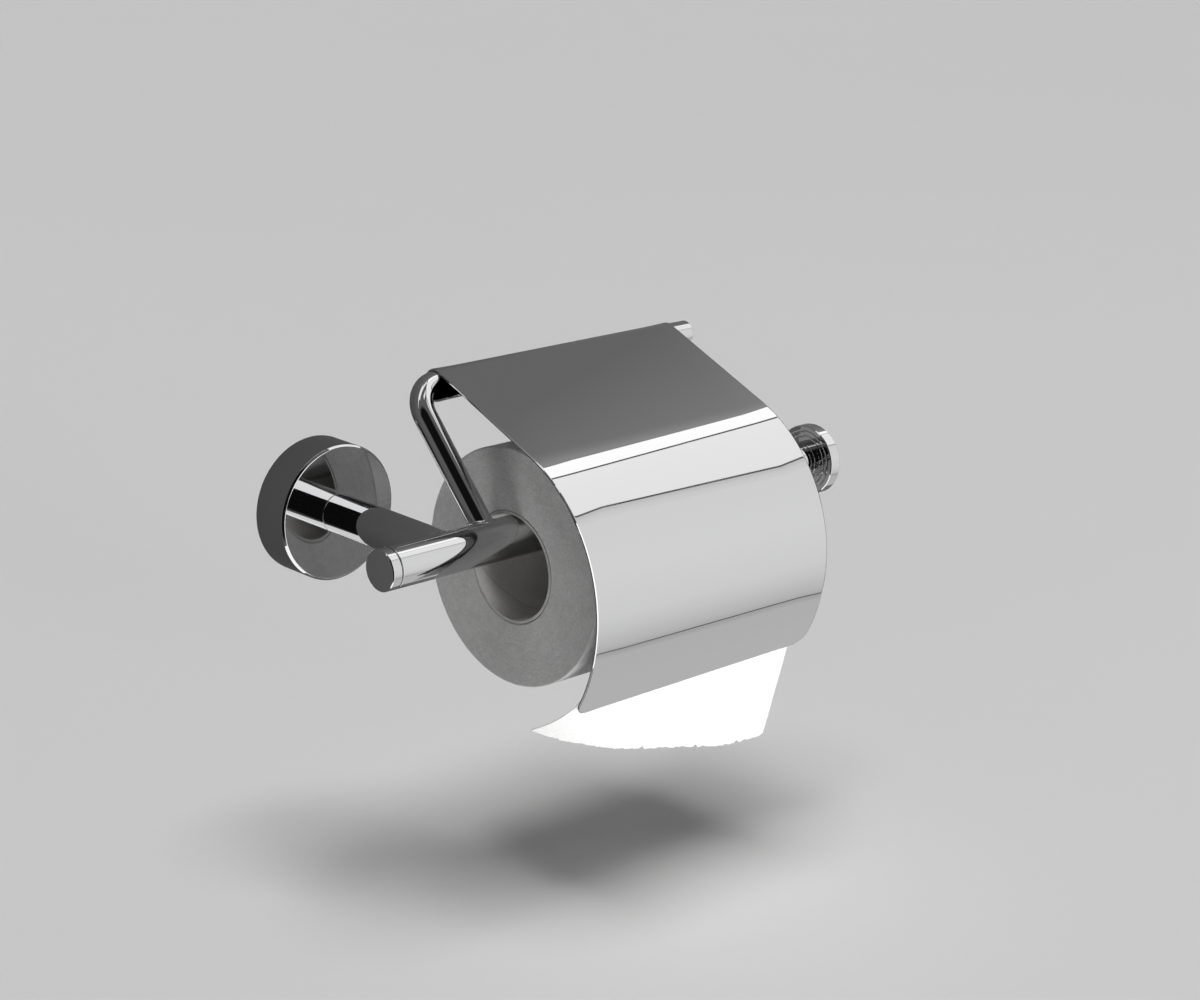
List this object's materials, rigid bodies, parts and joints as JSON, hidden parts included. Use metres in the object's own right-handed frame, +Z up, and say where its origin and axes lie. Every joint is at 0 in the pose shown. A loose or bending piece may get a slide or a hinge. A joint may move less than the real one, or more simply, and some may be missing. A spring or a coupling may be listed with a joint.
{
  "type": "toilet paper holder",
  "caption": "Wall-mounted chrome toilet paper holder: a round rosette and post carry a bar with a disc knob, and a bent wire carries a hinged curved cover over the paper roll.",
  "frame": {"origin": "centre of the fixing disc's back face, where it meets the wall", "axes": "+X along the bar towards its free end, parallel to the wall; +Y into the wall; +Z up"},
  "size_m": [0.2198, 0.1226, 0.1486],
  "materials": {
    "chrome": "polished",
    "cover_chrome": "polished",
    "steel": "satin",
    "zinc": "matte",
    "rubber": "matte",
    "cardboard": "matte",
    "paper": "matte",
    "loose_paper": "matte"
  },
  "bodies": {
    "holder": {"fixing_disc": "zinc", "rosette": "chrome", "grub_screw": "steel", "post_screw": "steel", "post_washer": "steel", "post": "chrome", "bar_stud": "steel", "bar_insert": "steel", "bar_tube": "chrome", "end_cap": "chrome", "cap_ring": "rubber", "knob_plug": "steel", "knob_stud": "steel", "end_knob": "chrome", "hinge_wire": "chrome", "foot_stud": "steel", "wire_end_piece": "chrome"},
    "cover": {"cover": "cover_chrome"},
    "sheet": {"loose_sheet": "loose_paper"},
    "roll": {"paper_roll": "paper", "cardboard_core": "cardboard"}
  },
  "joints": [
    {"name": "cover_hinge", "type": "hinge", "parent": "holder", "child": "cover", "pos_m": [0, -0.036, 0.0482], "axis": [-1, 0, 0], "range_deg": [0, 140]},
    {"name": "roll_slide", "type": "slide", "parent": "holder", "child": "sheet", "axis": [1, 0, 0], "range_m": [-0.005, 0.045]},
    {"name": "roll_spin", "type": "hinge", "parent": "sheet", "child": "roll", "pos_m": [0, -0.0744, -0.0115], "axis": [1, 0, 0], "continuous": true}
  ]
}
